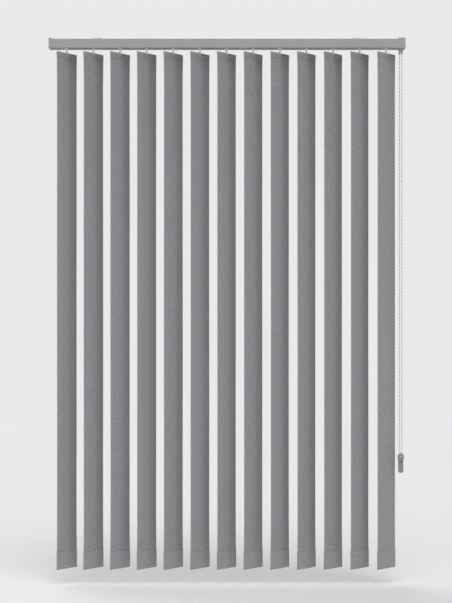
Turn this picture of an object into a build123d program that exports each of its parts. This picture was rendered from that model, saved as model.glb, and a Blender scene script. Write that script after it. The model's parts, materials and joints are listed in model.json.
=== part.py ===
from build123d import *
import math
import os

# A vertical blind hung from the head of a window recess: fabric louvres on geared
# hooks, carriers that roll in an aluminium headrail, a tilt rod, and a bead chain.
# Millimetres. X runs along the headrail, -Y is the room side, +Z is up.
# The origin lies on the ceiling plane, above the middle of the headrail.

# Louvres
louvre_count = 13
louvre_width = 89.0
louvre_length = 1510.0
louvre_pitch = 78.0
first_louvre_tilt = 55.8
last_louvre_tilt = 50.2
fabric_thickness = 0.4
top_hem_height = 17.0
bottom_hem_height = 52.0
hem_margin = 1.5
hem_seam_run = 1.0
hanger_thickness = 0.8
hanger_height = 12.0
hanger_margin = 3.0
weight_thickness = 1.2
weight_height = 46.0
weight_margin = 2.0
pocket_clearance = 0.1
plate_corner = 2.0

# Blind as a whole
overall_width = 1042.0
first_louvre_inset = 51.5
ceiling_gap = 4.5
louvre_drop = 12.0

# Headrail extrusion
rail_depth = 40.0
rail_height = 26.5
rail_wall = 1.3
rail_web = 1.2
rail_corner = 1.6
rail_edge = 0.8
channel_depth = 5.0
channel_mouth = 22.8
slot_width = 14.0
track_thickness = 1.4
track_rib_width = 1.2
track_rib_height = 1.2

# Fits
running_clearance = 0.08
moving_gap = 0.3
seat_gap = 0.2

# End caps
idler_cap_length = 7.5
control_cap_length = 20.0
cap_top_proud = 3.8
cap_bottom_proud = 0.8
cap_side_proud = 0.8
cap_wall = 1.8
cap_corner = 2.2
cap_edge = 0.8
cheek_wall = 1.6
idler_plug_length = 12.0
bearing_plate = 3.5

# Ceiling brackets
bracket_inset = 141.0
bracket_length = 24.0
bracket_thickness = 1.2
bracket_foot = 4.0
bracket_hole_radius = 2.25

# Tilt rod with three lobes
rod_core_radius = 2.2
rod_lobe_radius = 0.8
rod_lobe_reach = 2.3
rod_journal_radius = 2.0
rod_end_gap = 0.5
rod_offset = 9.5
rod_depth = 15.5

# Carriers
carrier_length = 17.2
carrier_plate_width = 26.0
carrier_plate_height = 3.4
carrier_corner = 1.5
carrier_wheel_radius = 3.6
carrier_wheel_width = 2.5
carrier_wheel_spacing = 9.6
carrier_wheel_tread = 30.0
carrier_axle_radius = 1.1
gear_house_wall = 1.5
gear_house_roof = 1.3
gear_room = 0.7
sleeve_wall = 0.6
neck_radius = 5.0
neck_drop = 1.5

# Spacer strips that set the distance between carriers
strip_thickness = 0.3
strip_width = 5.6
strip_overlap = 6.0
strip_levels = 5
strip_level_step = 0.6
strip_rise = 0.5
guide_cheek = 1.0
guide_cheek_length = 8.0

# Geared hooks
gear_teeth = 12
gear_radius = 5.2
gear_tooth_depth = 0.9
gear_tooth_gap = 1.05
gear_height = 5.8
stem_radius = 2.3
collar_radius = 4.0
collar_height = 2.2
hook_width = 5.2
hook_leaf = 0.9
hook_gap = 0.2
hook_reach = 5.5
hook_bridge = 4.0
hook_tip_radius = 2.0
peg_height = 1.6
peg_width = 3.2
peg_drop = 3.4
hanger_slot_play = 0.6

# Bead chain and its wheel
bead_radius = 2.0
bead_length = 4.2
bead_pitch = 10.0
bead_sides = 6
chain_cord_radius = 0.65
chain_inset = 12.4
chain_spacing = 6.8
wheel_pockets = 5
wheel_flange = 1.0
wheel_flange_rise = 1.1
pocket_cut_depth = 0.4
axle_radius = 1.5
axle_boss_wall = 1.3
connector_radius = 2.4
connector_length = 4.6
connector_drop = 420.0

# Mitre gears between the chain wheel and the tilt rod
mitre_teeth = 10
mitre_radius = 5.2
mitre_face = 2.2
mitre_addendum = 0.5
mitre_dedendum = 0.85
mitre_root_share = 0.50
mitre_tip_share = 0.24
pinion_hub_radius = 4.0
pinion_hub_length = 13.0
pinion_grip = 8.0

# Chain guide below the control cap
guide_funnel_height = 5.0
guide_width = 20.0
guide_mouth_wall = 0.8
guide_tube_length = 9.5
guide_tube_wall = 0.55
guide_bore_clearance = 0.35
guide_depth = 9.0
guide_tip_taper = 1.5

# Chain weight
weight_head_drop = 1215.5
weight_head_height = 23.5
weight_head_sag = 5.0
weight_head_width = 17.5
weight_body_width = 14.6
weight_body_height = 34.0
weight_case_depth = 10.0
weight_body_depth = 8.4
weight_case_wall = 1.4
weight_tip_radius = 6.4
weight_edge = 1.0
weight_pin_drop = 9.0
weight_pin_head = 0.7
weight_pin_head_radius = 2.2
weight_mouth_width = 8.0
weight_mouth_height = 2.6
weight_mouth_depth = 1.6

# Places worked out from the sizes above
rail_top = -ceiling_gap
rail_bottom = rail_top - rail_height
rail_left = -overall_width / 2 + idler_cap_length
rail_right = overall_width / 2 - control_cap_length
bracket_spacing = overall_width - 2 * bracket_inset
cavity_half = rail_depth / 2 - rail_wall
lip_under = rail_top - rail_wall
channel_floor = rail_top - channel_depth
cavity_top = channel_floor - rail_web
track_top = rail_bottom + track_thickness
cap_top = rail_top + cap_top_proud
cap_bottom = rail_bottom - cap_bottom_proud
cap_depth = rail_depth + 2 * cap_side_proud
plug_half = cavity_half - seat_gap
plug_top = cavity_top - seat_gap
plug_bottom = track_top + seat_gap
first_louvre_x = -overall_width / 2 + first_louvre_inset
louvre_x = [first_louvre_x + i * louvre_pitch for i in range(louvre_count)]
tilt_step = (last_louvre_tilt - first_louvre_tilt) / (louvre_count - 1)
louvre_tilts = [first_louvre_tilt + i * tilt_step for i in range(louvre_count)]
louvre_top = rail_bottom - louvre_drop
rod_z = rail_top - rod_depth
rod_radius = rod_lobe_reach + rod_lobe_radius
top_hem_thickness = hanger_thickness + 2 * pocket_clearance + 2 * fabric_thickness
bottom_hem_thickness = weight_thickness + 2 * pocket_clearance + 2 * fabric_thickness
peg_z = louvre_top - peg_drop
chain_x = overall_width / 2 - chain_inset
chain_half = chain_spacing / 2
chain_room = bead_radius + moving_gap
wheel_radius = wheel_pockets * bead_pitch / (2 * math.pi)
wheel_half = chain_room + wheel_flange
guide_top = cap_bottom
guide_mid = guide_top - guide_funnel_height
guide_bore = bead_radius + guide_bore_clearance
guide_mouth = guide_width / 2 - guide_mouth_wall
pin_z = -weight_head_drop - weight_pin_drop
pin_radius = chain_half - chain_room

os.makedirs("parts", exist_ok=True)


def save(part, name):
    part.label = name
    export_step(part, f"parts/{name}.step")


# Headrail: one extrusion with a bracket channel on top and a slotted cavity below
with BuildPart() as headrail:
    with BuildSketch(Plane.YZ.offset(rail_left)):
        with Locations((0, rail_top - rail_height / 2)):
            Rectangle(rail_depth, rail_height)
        fillet(vertices().group_by(Axis.Y)[0], radius=rail_corner)
        fillet(vertices().group_by(Axis.Y)[-1], radius=rail_edge)
        with Locations((0, (lip_under + channel_floor) / 2)):
            Rectangle(2 * cavity_half, lip_under - channel_floor, mode=Mode.SUBTRACT)
        with Locations((0, rail_top)):
            Rectangle(channel_mouth, 3 * rail_wall, mode=Mode.SUBTRACT)
        with Locations((0, (cavity_top + track_top) / 2)):
            Rectangle(2 * cavity_half, cavity_top - track_top, mode=Mode.SUBTRACT)
        with Locations((0, rail_bottom)):
            Rectangle(slot_width, 3 * track_thickness, mode=Mode.SUBTRACT)
        rib_y = (slot_width + track_rib_width) / 2
        with Locations((-rib_y, track_top), (rib_y, track_top)):
            Rectangle(track_rib_width, track_rib_height, align=(Align.CENTER, Align.MIN))
    extrude(amount=rail_right - rail_left)
    notch_left = chain_x - wheel_radius - chain_room - moving_gap
    with BuildSketch(Plane.XY.offset(channel_floor)):
        with Locations((notch_left, 0)):
            Rectangle(
                rail_right - notch_left,
                2 * (wheel_half + moving_gap),
                align=(Align.MIN, Align.CENTER),
            )
    extrude(amount=-rail_web, mode=Mode.SUBTRACT)
save(headrail.part, "headrail")


# Ceiling brackets: a sprung strip whose feet catch under the lips of the top channel
def make_bracket(x):
    leg_outer = channel_mouth / 2 - moving_gap
    leg_inner = leg_outer - bracket_thickness
    foot_end = leg_outer + bracket_foot
    with BuildPart() as bracket:
        with BuildSketch(Plane.YZ.offset(x - bracket_length / 2)):
            with BuildLine():
                Polyline(
                    (0, 0),
                    (leg_outer, 0),
                    (leg_outer, lip_under),
                    (foot_end, lip_under),
                    (foot_end, lip_under - bracket_thickness),
                    (leg_inner, lip_under - bracket_thickness),
                    (leg_inner, -bracket_thickness),
                    (0, -bracket_thickness),
                    close=True,
                )
            make_face()
            mirror(about=Plane.YZ)
        extrude(amount=bracket_length)
        with Locations((x, 0, 0)):
            Hole(bracket_hole_radius, depth=bracket_thickness)
    return bracket.part


save(make_bracket(-bracket_spacing / 2), "bracket_left")
save(make_bracket(bracket_spacing / 2), "bracket_right")


# Both end caps share this shell: a rounded cup over the rail end, open to the rail
def cap_sketch(inset):
    with BuildSketch() as outline:
        with Locations((0, (cap_top + cap_bottom) / 2)):
            RectangleRounded(
                cap_depth - 2 * inset,
                cap_top - cap_bottom - 2 * inset,
                cap_corner - min(inset, cap_corner / 2),
            )
    return outline.sketch


# Plug that holds an end cap in the headrail: two cheeks and a bearing wall
def make_plug(x_start, x_end, plate_x, bore_radius):
    height = plug_top - plug_bottom
    middle = (plug_top + plug_bottom) / 2
    wall_bottom = plug_bottom + track_rib_height
    with BuildPart() as plug:
        with BuildSketch(Plane.YZ.offset(x_start)):
            with Locations((0, middle)):
                Rectangle(2 * plug_half, height)
                Rectangle(2 * (plug_half - cheek_wall), height, mode=Mode.SUBTRACT)
        extrude(amount=x_end - x_start)
        with BuildSketch(Plane.YZ.offset(plate_x)):
            with Locations((0, plug_top)):
                Rectangle(2 * plug_half, plug_top - wall_bottom, align=(Align.CENTER, Align.MAX))
            with Locations((rod_offset, rod_z)):
                Circle(bore_radius, mode=Mode.SUBTRACT)
        extrude(amount=bearing_plate)
    return plug.part


idler_x = -overall_width / 2
idler_plate_x = rail_left + idler_plug_length - bearing_plate
idler_plug = make_plug(
    idler_x + cap_wall,
    rail_left + idler_plug_length,
    idler_plate_x,
    rod_journal_radius + running_clearance,
)
with BuildPart() as idler_end_cap:
    with BuildSketch(Plane.YZ.offset(idler_x)):
        add(cap_sketch(0))
    extrude(amount=idler_cap_length)
    fillet(faces().sort_by(Axis.X)[0].edges(), radius=cap_edge)
    with BuildSketch(Plane.YZ.offset(idler_x + cap_wall)):
        add(cap_sketch(cap_wall))
    extrude(amount=idler_cap_length - cap_wall, mode=Mode.SUBTRACT)
    add(idler_plug)
save(idler_end_cap.part, "idler_end_cap")


# Control housing: cap over the rail end, plug, pinion bearing and axle bosses
housing_x = overall_width / 2
pinion_plate_x = chain_x - wheel_radius - chain_room - 2 * moving_gap - bearing_plate
axle_boss = axle_radius + axle_boss_wall
front_boss_end = -(wheel_half + moving_gap)
back_boss_end = rod_offset + mitre_radius
control_plug = make_plug(
    pinion_plate_x,
    housing_x - cap_wall,
    pinion_plate_x,
    pinion_hub_radius + running_clearance,
)
with BuildPart() as control_housing:
    with BuildSketch(Plane.YZ.offset(rail_right)):
        add(cap_sketch(0))
    extrude(amount=control_cap_length)
    fillet(faces().sort_by(Axis.X)[-1].edges(), radius=cap_edge)
    with BuildSketch(Plane.YZ.offset(rail_right)):
        add(cap_sketch(cap_wall))
    extrude(amount=control_cap_length - cap_wall, mode=Mode.SUBTRACT)
    add(control_plug)
    with BuildSketch(Plane.XZ.offset(plug_half)):
        with Locations((chain_x, rod_z)):
            Circle(axle_boss)
    extrude(amount=-(plug_half + front_boss_end))
    with BuildSketch(Plane.XZ.offset(-plug_half)):
        with Locations((chain_x, rod_z)):
            Circle(axle_boss)
    extrude(amount=plug_half - back_boss_end)
    with BuildSketch(Plane.XZ.offset(-plug_half)):
        with Locations((chain_x, rod_z)):
            Circle(axle_radius)
    extrude(amount=2 * plug_half, mode=Mode.SUBTRACT)
    with BuildSketch(Plane.XY.offset(cap_bottom)):
        with Locations((chain_x, 0)):
            SlotOverall(2 * guide_mouth, 2 * guide_bore)
    extrude(amount=2 * cap_wall, mode=Mode.SUBTRACT)
save(control_housing.part, "control_housing")

with BuildPart() as wheel_axle:
    with BuildSketch(Plane.XZ.offset(-plug_half)):
        with Locations((chain_x, rod_z)):
            Circle(axle_radius)
    extrude(amount=2 * plug_half)
save(wheel_axle.part, "wheel_axle")


# One mitre gear tooth, tapering to the apex at the local origin, along local +Z
def make_mitre_tooth():
    step = 360 / mitre_teeth
    small = (mitre_radius - mitre_face) / mitre_radius

    def section(scale):
        root = (mitre_radius - mitre_dedendum - moving_gap) * scale
        tip = (mitre_radius + mitre_addendum) * scale
        root_half = math.radians(step * mitre_root_share / 2)
        tip_half = math.radians(step * mitre_tip_share / 2)
        with BuildSketch(Plane.XY.offset(-mitre_radius * scale)) as tooth_end:
            with BuildLine():
                Polyline(
                    (root * math.cos(root_half), -root * math.sin(root_half)),
                    (tip * math.cos(tip_half), -tip * math.sin(tip_half)),
                    (tip * math.cos(tip_half), tip * math.sin(tip_half)),
                    (root * math.cos(root_half), root * math.sin(root_half)),
                    close=True,
                )
            make_face()
        return tooth_end.sketch

    with BuildPart() as tooth:
        loft([section(1.0), section(small)], ruled=True)
    return tooth.part


mitre_tooth = make_mitre_tooth()


# The toothed cone of a mitre gear, with its apex at the local origin
def make_mitre_cone(turn):
    root = mitre_radius - mitre_dedendum
    small = (mitre_radius - mitre_face) / mitre_radius
    with BuildPart() as cone:
        with BuildSketch(Plane.XY.offset(-mitre_radius)):
            Circle(root)
        with BuildSketch(Plane.XY.offset(-mitre_radius * small)):
            Circle(root * small)
        loft(ruled=True)
        with PolarLocations(0, mitre_teeth, start_angle=turn):
            add(mitre_tooth)
    return cone.part


apex = (chain_x, rod_offset, rod_z)
half_tooth = 180 / mitre_teeth
pinion_plane = Plane(origin=apex, x_dir=(0, -1, 0), z_dir=(1, 0, 0))
wheel_plane = Plane(origin=apex, x_dir=(-1, 0, 0), z_dir=(0, 1, 0))
pinion_cone = make_mitre_cone(0)
wheel_cone = make_mitre_cone(half_tooth)


# Three-lobed section that keys the tilt rod to the pinion and the carriers' sleeves
def rod_section(play):
    with BuildSketch() as section:
        Circle(rod_core_radius + play)
        with PolarLocations(rod_lobe_reach, 3, start_angle=90):
            Circle(rod_lobe_radius + play)
    return section.sketch


pinion_start = chain_x - mitre_radius - pinion_hub_length
with BuildPart() as rod_pinion:
    add(pinion_plane.location * pinion_cone)
    with BuildSketch(Plane.YZ.offset(pinion_start)):
        with Locations((rod_offset, rod_z)):
            Circle(pinion_hub_radius)
    extrude(amount=pinion_hub_length)
    with BuildSketch(Plane.YZ.offset(pinion_start)):
        with Locations((rod_offset, rod_z)):
            add(rod_section(running_clearance))
    extrude(amount=pinion_grip, mode=Mode.SUBTRACT)
save(rod_pinion.part, "rod_pinion")

rod_start = idler_plate_x + bearing_plate + rod_end_gap
with BuildPart() as tilt_rod:
    with BuildSketch(Plane.YZ.offset(rod_start)):
        with Locations((rod_offset, rod_z)):
            add(rod_section(0))
    extrude(amount=pinion_start + pinion_grip - rod_end_gap - rod_start)
    with BuildSketch(Plane.YZ.offset(idler_plate_x)):
        with Locations((rod_offset, rod_z)):
            Circle(rod_journal_radius)
    extrude(amount=rod_start - idler_plate_x)
save(tilt_rod.part, "tilt_rod")


# Chain wheel: grooved between two flanges whose inner faces are scalloped for the beads
def make_chain_wheel(turn):
    rim = wheel_radius + wheel_flange_rise
    groove = wheel_radius - chain_room
    hub_end = rod_offset - mitre_radius
    with BuildPart() as wheel:
        with BuildSketch(Plane.XZ.offset(wheel_half)):
            with Locations((chain_x, rod_z)):
                Circle(rim)
        extrude(amount=-2 * wheel_half)
        with BuildSketch(Plane.XZ.offset(chain_room)):
            with Locations((chain_x, rod_z)):
                Circle(rim)
                Circle(groove, mode=Mode.SUBTRACT)
        extrude(amount=-2 * chain_room, mode=Mode.SUBTRACT)
        pocket = chain_room + pocket_cut_depth
        with BuildSketch(Plane.XZ.offset(pocket)):
            with Locations((chain_x, rod_z)):
                with PolarLocations(wheel_radius, wheel_pockets, start_angle=turn):
                    Circle(bead_radius)
        extrude(amount=-2 * pocket, mode=Mode.SUBTRACT)
        with BuildSketch(Plane.XZ.offset(-wheel_half)):
            with Locations((chain_x, rod_z)):
                Circle(mitre_radius - mitre_dedendum)
        extrude(amount=-(hub_end - wheel_half))
        add(wheel_plane.location * wheel_cone)
        with BuildSketch(Plane.XZ.offset(wheel_half)):
            with Locations((chain_x, rod_z)):
                Circle(axle_radius + running_clearance)
        extrude(amount=-2 * rod_offset, mode=Mode.SUBTRACT)
    return wheel.part


# Bead chain: its line runs over the wheel, through the guide and under the weight's pin
guide_point = (chain_half, guide_mid - rod_z)
guide_reach = math.hypot(*guide_point)
tangent_turn = math.atan2(guide_point[1], guide_point[0]) + math.acos(wheel_radius / guide_reach)
tangent_x = wheel_radius * math.cos(tangent_turn)
tangent_z = rod_z + wheel_radius * math.sin(tangent_turn)
cord_start = (chain_x + chain_half, -connector_drop + connector_length / 2)
cord_end = (chain_x + chain_half, -connector_drop - connector_length / 2)
with BuildLine(Plane.XZ) as chain_line:
    Line(cord_start, (chain_x + chain_half, guide_mid))
    Line((chain_x + chain_half, guide_mid), (chain_x + tangent_x, tangent_z))
    ThreePointArc(
        (chain_x + tangent_x, tangent_z),
        (chain_x, rod_z + wheel_radius),
        (chain_x - tangent_x, tangent_z),
    )
    Line((chain_x - tangent_x, tangent_z), (chain_x - chain_half, guide_mid))
    Line((chain_x - chain_half, guide_mid), (chain_x - chain_half, pin_z))
    ThreePointArc(
        (chain_x - chain_half, pin_z),
        (chain_x, pin_z - chain_half),
        (chain_x + chain_half, pin_z),
    )
    Line((chain_x + chain_half, pin_z), cord_end)

chain_wire = chain_line.wire()
bead_count = round((chain_wire.length + connector_length) / bead_pitch)
bead_step = (chain_wire.length + connector_length) / bead_count


def chain_plane(distance):
    point = chain_wire.position_at(distance, position_mode=PositionMode.LENGTH)
    along = chain_wire.tangent_at(distance, position_mode=PositionMode.LENGTH)
    return Plane(origin=point, x_dir=(0, 1, 0), z_dir=along)


# A bead is a faceted barrel that tapers into the cord at both ends
with BuildPart() as bead:
    with BuildSketch():
        RegularPolygon(bead_radius, bead_sides)
    bead_taper = math.degrees(math.atan2(bead_radius - 0.8 * chain_cord_radius, bead_length / 2))
    extrude(amount=bead_length / 2, taper=bead_taper)
    mirror(about=Plane.XY)

first_bead = (bead_step - connector_length) / 2
bead_planes = [chain_plane(first_bead + i * bead_step) for i in range(bead_count)]
cord_points = [chain_wire.position_at(0)]
for i in range(2 * bead_count - 1):
    cord_points.append(chain_plane(first_bead + i * bead_step / 2).origin)
cord_points.append(chain_wire.position_at(1))


# Where neighbouring stretches of cord are in line they are drawn as one
def cord_corners(points):
    corners = [points[0]]
    for before, here, after in zip(points, points[1:], points[2:]):
        if (here - before).get_angle(after - here) > 0.01:
            corners.append(here)
    return corners + [points[-1]]


corners = cord_corners(cord_points)
with BuildPart() as control_chain:
    for start, end in zip(corners, corners[1:]):
        with BuildSketch(Plane(origin=start, x_dir=(0, 1, 0), z_dir=end - start)):
            RegularPolygon(chain_cord_radius, bead_sides)
        extrude(amount=(end - start).length)
    with Locations([plane.location for plane in bead_planes]):
        add(bead.part)
save(control_chain.part, "control_chain")

with BuildPart() as chain_connector:
    with BuildSketch(Plane.XY.offset(-connector_drop - connector_length / 2)):
        with Locations((chain_x + chain_half, 0)):
            Circle(connector_radius)
    extrude(amount=connector_length)
    fillet(edges().filter_by(GeomType.CIRCLE), radius=connector_radius / 3)
save(chain_connector.part, "chain_connector")

top_bead = max(bead_planes, key=lambda plane: plane.origin.Z).origin
pocket_turn = math.degrees(math.atan2(top_bead.Z - rod_z, top_bead.X - chain_x))
save(make_chain_wheel(pocket_turn), "chain_wheel")


# Chain guide: a funnel under the housing that closes to one tapered tube for each strand
tube_radius = guide_bore + guide_tube_wall
with BuildPart() as chain_guide:
    with BuildSketch(Plane.XY.offset(guide_top)):
        with Locations((chain_x, 0)):
            SlotOverall(guide_width, guide_depth)
    with BuildSketch(Plane.XY.offset(guide_mid)):
        with Locations((chain_x, 0)):
            SlotOverall(2 * (chain_half + tube_radius), 2 * tube_radius)
    loft(ruled=True)
    with BuildSketch(Plane.XY.offset(guide_mid)):
        with Locations((chain_x - chain_half, 0), (chain_x + chain_half, 0)):
            Circle(tube_radius)
    extrude(amount=-guide_tube_length, taper=guide_tip_taper)
    with BuildSketch(Plane.XY.offset(guide_top)):
        with Locations((chain_x, 0)):
            SlotOverall(2 * guide_mouth, 2 * guide_bore)
    with BuildSketch(Plane.XY.offset(guide_mid)):
        with Locations((chain_x, 0)):
            SlotOverall(2 * (chain_half + guide_bore), 2 * guide_bore)
    loft(ruled=True, mode=Mode.SUBTRACT)
    with BuildSketch(Plane.XY.offset(guide_mid)):
        with Locations((chain_x - chain_half, 0), (chain_x + chain_half, 0)):
            Circle(guide_bore)
    extrude(amount=-guide_tube_length, mode=Mode.SUBTRACT)
save(chain_guide.part, "chain_guide")

# Chain weight: a rounded head over the pin, and a slimmer body that narrows to its tip
head_top = -weight_head_drop
head_bottom = head_top - weight_head_height
head_shoulder = head_top - weight_head_width / 2
body_bottom = head_bottom - weight_body_height


# Face of the weight's head: a full round on top and a shallow round below
def head_face(inset):
    half = weight_head_width / 2 - inset
    lower = head_bottom + weight_head_sag
    with BuildSketch(Plane.XZ) as face:
        with BuildLine():
            Line((chain_x - half, head_shoulder), (chain_x - half, lower))
            ThreePointArc(
                (chain_x - half, lower),
                (chain_x, head_bottom + inset),
                (chain_x + half, lower),
            )
            Line((chain_x + half, lower), (chain_x + half, head_shoulder))
            ThreePointArc(
                (chain_x + half, head_shoulder),
                (chain_x, head_top - inset),
                (chain_x - half, head_shoulder),
            )
        make_face()
    return face.sketch


# Face of the weight's body: straight sides and a rounded tip
def body_face(inset):
    height = head_shoulder - body_bottom - inset
    with BuildSketch(Plane.XZ) as face:
        with Locations((chain_x, head_shoulder)):
            Rectangle(weight_body_width - 2 * inset, height, align=(Align.CENTER, Align.MAX))
        fillet(vertices().group_by(Axis.Y)[0], radius=weight_tip_radius - inset)
    return face.sketch


# One half of the weight: a shell on the side of the louvres or on the room side
def make_weight_half(toward_room):
    head_reach = toward_room * weight_case_depth / 2
    body_reach = toward_room * weight_body_depth / 2
    wall = toward_room * weight_case_wall
    with BuildPart() as half:
        extrude(head_face(0), amount=head_reach)
        outer_face = half.faces().sort_by(Axis.Y)[0 if toward_room > 0 else -1]
        fillet(outer_face.edges(), radius=weight_edge)
        extrude(body_face(0), amount=body_reach)
        extrude(head_face(weight_case_wall), amount=head_reach - wall, mode=Mode.SUBTRACT)
        extrude(body_face(weight_case_wall), amount=body_reach - wall, mode=Mode.SUBTRACT)
        with BuildSketch(Plane.XY.offset(head_top)):
            with Locations((chain_x, 0)):
                SlotOverall(2 * (chain_half + guide_bore), 2 * guide_bore)
        extrude(amount=-weight_pin_drop, mode=Mode.SUBTRACT)
        with BuildSketch(Plane.XZ):
            with Locations((chain_x, pin_z)):
                Circle(pin_radius)
        extrude(amount=head_reach, mode=Mode.SUBTRACT)
    return half.part


save(make_weight_half(-1), "chain_weight_back")
with BuildPart() as chain_weight_front:
    add(make_weight_half(1))
    with BuildSketch(Plane.XZ.offset(weight_body_depth / 2)):
        with Locations((chain_x, head_bottom - weight_mouth_height / 2)):
            SlotOverall(weight_mouth_width, weight_mouth_height)
    extrude(amount=-weight_mouth_depth, mode=Mode.SUBTRACT)
save(chain_weight_front.part, "chain_weight_front")

with BuildPart() as weight_pin:
    with BuildSketch(Plane.XZ.offset(-weight_case_depth / 2)):
        with Locations((chain_x, pin_z)):
            Circle(pin_radius)
    extrude(amount=weight_case_depth)
    with BuildSketch(Plane.XZ.offset(weight_case_depth / 2)):
        with Locations((chain_x, pin_z)):
            Circle(weight_pin_head_radius)
    extrude(amount=weight_pin_head)
    fillet(faces().sort_by(Axis.Y)[0].edges(), radius=weight_pin_head / 2)
save(weight_pin.part, "weight_pin")


# Carrier at x = 0: rolling plate, gear house, sleeve round the tilt rod, spacer strip
plate_bottom = track_top + track_rib_height + moving_gap
plate_top = plate_bottom + carrier_plate_height
roller_z = track_top + moving_gap + carrier_wheel_radius
roller_x = carrier_wheel_spacing / 2
roller_face = (carrier_wheel_tread + carrier_wheel_width) / 2
gear_bottom = rod_z - gear_height / 2
gear_room_height = gear_height + 2 * moving_gap
house_radius = gear_radius + gear_room + gear_house_wall
house_top = gear_bottom - moving_gap + gear_room_height + gear_house_roof
sleeve_bore = rod_radius + moving_gap
neck_bottom = rail_bottom - neck_drop
strip_play = 2 * moving_gap
cheek_y = strip_width / 2 + strip_play + guide_cheek / 2
cheek_height = strip_rise + strip_levels * strip_level_step


def make_carrier(level):
    with BuildPart() as carrier:
        with BuildSketch(Plane.XY.offset(plate_bottom)):
            RectangleRounded(carrier_length, carrier_plate_width, carrier_corner)
        extrude(amount=carrier_plate_height)
        with BuildSketch(Plane.XY.offset(plate_top)):
            Circle(house_radius)
        extrude(amount=house_top - plate_top)
        with BuildSketch(Plane.XY.offset(gear_bottom - moving_gap)):
            Circle(gear_radius + gear_room)
        extrude(amount=gear_room_height, mode=Mode.SUBTRACT)
        with BuildSketch(Plane.XZ):
            with Locations((0, rod_z)):
                Rectangle(2 * gear_radius, gear_room_height)
        extrude(amount=house_radius, mode=Mode.SUBTRACT)
        with BuildSketch(Plane.YZ.offset(-carrier_length / 2)):
            with Locations((rod_offset, rod_z)):
                Circle(sleeve_bore + sleeve_wall)
            with Locations((rod_offset, plate_top)):
                Rectangle(2 * sleeve_wall, rod_z - plate_top, align=(Align.CENTER, Align.MIN))
        extrude(amount=carrier_length)
        with BuildSketch(Plane.YZ.offset(-carrier_length / 2)):
            with Locations((rod_offset, rod_z)):
                Circle(sleeve_bore)
        extrude(amount=carrier_length, mode=Mode.SUBTRACT)
        with BuildSketch(Plane.XY.offset(neck_bottom)):
            Circle(neck_radius)
        extrude(amount=plate_bottom - neck_bottom)
        with BuildSketch(Plane.XY.offset(neck_bottom)):
            Circle(stem_radius + running_clearance)
        extrude(amount=gear_bottom - neck_bottom, mode=Mode.SUBTRACT)
        with BuildSketch(Plane.XZ.offset(-roller_face)):
            with Locations((-roller_x, roller_z), (roller_x, roller_z)):
                Circle(carrier_axle_radius)
        extrude(amount=2 * roller_face)
        for outer_face in (roller_face, carrier_wheel_width - roller_face):
            with BuildSketch(Plane.XZ.offset(outer_face)):
                with Locations((-roller_x, roller_z), (roller_x, roller_z)):
                    Circle(carrier_wheel_radius)
            extrude(amount=-carrier_wheel_width)
        with BuildSketch(Plane.XY.offset(house_top)):
            with Locations((0, -cheek_y), (0, cheek_y)):
                Rectangle(guide_cheek_length, guide_cheek)
        extrude(amount=cheek_height)
        if level is not None:
            with BuildSketch(Plane.XY.offset(house_top + strip_rise + level * strip_level_step)):
                Rectangle(guide_cheek_length, 2 * cheek_y)
                Rectangle(
                    louvre_pitch + strip_overlap,
                    strip_width,
                    align=(Align.MAX, Align.CENTER),
                )
            extrude(amount=strip_thickness)
    return carrier.part


# Geared hook with the louvre's width along X: gear, stem, collar and fork
leaf_inner = top_hem_thickness / 2 + hook_gap
leaf_outer = leaf_inner + hook_leaf
fork_middle = louvre_top + hook_bridge
fork_top = fork_middle - hook_bridge / 2
fork_bottom = louvre_top - hook_reach
with BuildPart() as hook_at_middle:
    with BuildSketch(Plane.XY.offset(gear_bottom)):
        Circle(gear_radius)
        with PolarLocations(gear_radius, gear_teeth):
            Rectangle(2 * gear_tooth_depth, gear_tooth_gap, mode=Mode.SUBTRACT)
    extrude(amount=gear_height)
    with BuildSketch(Plane.XY.offset(gear_bottom)):
        Circle(stem_radius)
    extrude(amount=fork_middle - gear_bottom)
    with BuildSketch(Plane.XY.offset(neck_bottom - moving_gap)):
        Circle(collar_radius)
    extrude(amount=-collar_height)
    with BuildSketch(Plane.XY.offset(fork_middle + hook_bridge / 2)):
        Circle(stem_radius)
    with BuildSketch(Plane.XY.offset(fork_top)):
        RectangleRounded(hook_width, 2 * leaf_outer, leaf_outer / 2)
    loft(ruled=True)
    with BuildSketch(Plane.XZ.offset(leaf_outer)):
        with Locations((0, fork_top)):
            Rectangle(hook_width, fork_top - fork_bottom, align=(Align.CENTER, Align.MAX))
        fillet(vertices().group_by(Axis.Y)[0], radius=hook_tip_radius)
    extrude(amount=-2 * leaf_outer)
    with BuildSketch(Plane.YZ.offset(-hook_width / 2)):
        with Locations((0, fork_bottom)):
            Rectangle(2 * leaf_inner, hook_reach + hook_gap, align=(Align.CENTER, Align.MIN))
    extrude(amount=hook_width, mode=Mode.SUBTRACT)
    with BuildSketch(Plane.XZ.offset(leaf_inner)):
        with Locations((0, peg_z)):
            Rectangle(peg_width, peg_height)
    extrude(amount=-2 * leaf_inner)

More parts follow.
